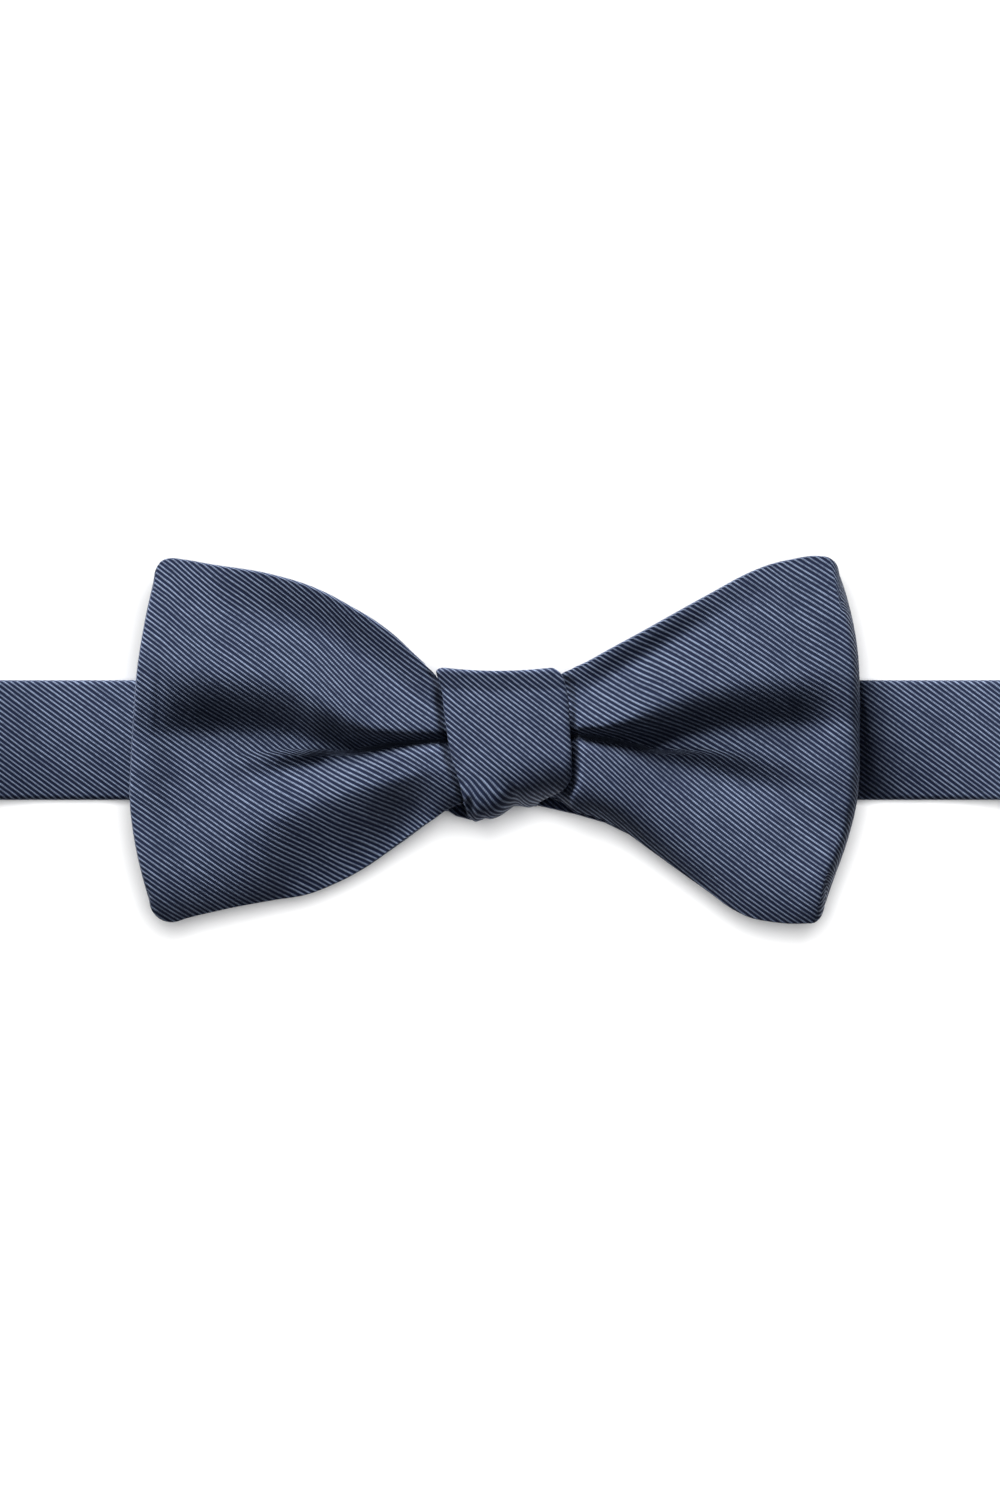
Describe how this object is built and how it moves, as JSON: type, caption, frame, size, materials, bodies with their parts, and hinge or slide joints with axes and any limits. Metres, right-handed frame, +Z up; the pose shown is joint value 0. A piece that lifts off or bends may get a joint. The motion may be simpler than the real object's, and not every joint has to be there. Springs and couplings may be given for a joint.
{
  "type": "pre-tied bow tie",
  "caption": "Cloth bow with open looped wings, a pleated knot over its middle and a closed neck band with a plain clasp, lying face up.",
  "frame": {"origin": "on the surface the tie lies on, under the middle of its box, which is the middle of the bow", "axes": "+X to the right of the bow seen from its front, along the band; +Y to the bow's top edge; +Z up, out of its front"},
  "size_m": [0.2074, 0.0598, 0.0186],
  "materials": {
    "navy_twill": "ribbed silk twill in slate navy, soft sheen",
    "clasp_metal": "plain nickelled steel, fine brushing"
  },
  "bodies": {
    "root": {"bow_front_loop": "navy_twill", "bow_back_blade": "navy_twill", "knot_wrap": "navy_twill", "neck_band": "navy_twill", "band_clasp": "clasp_metal"}
  },
  "joints": []
}
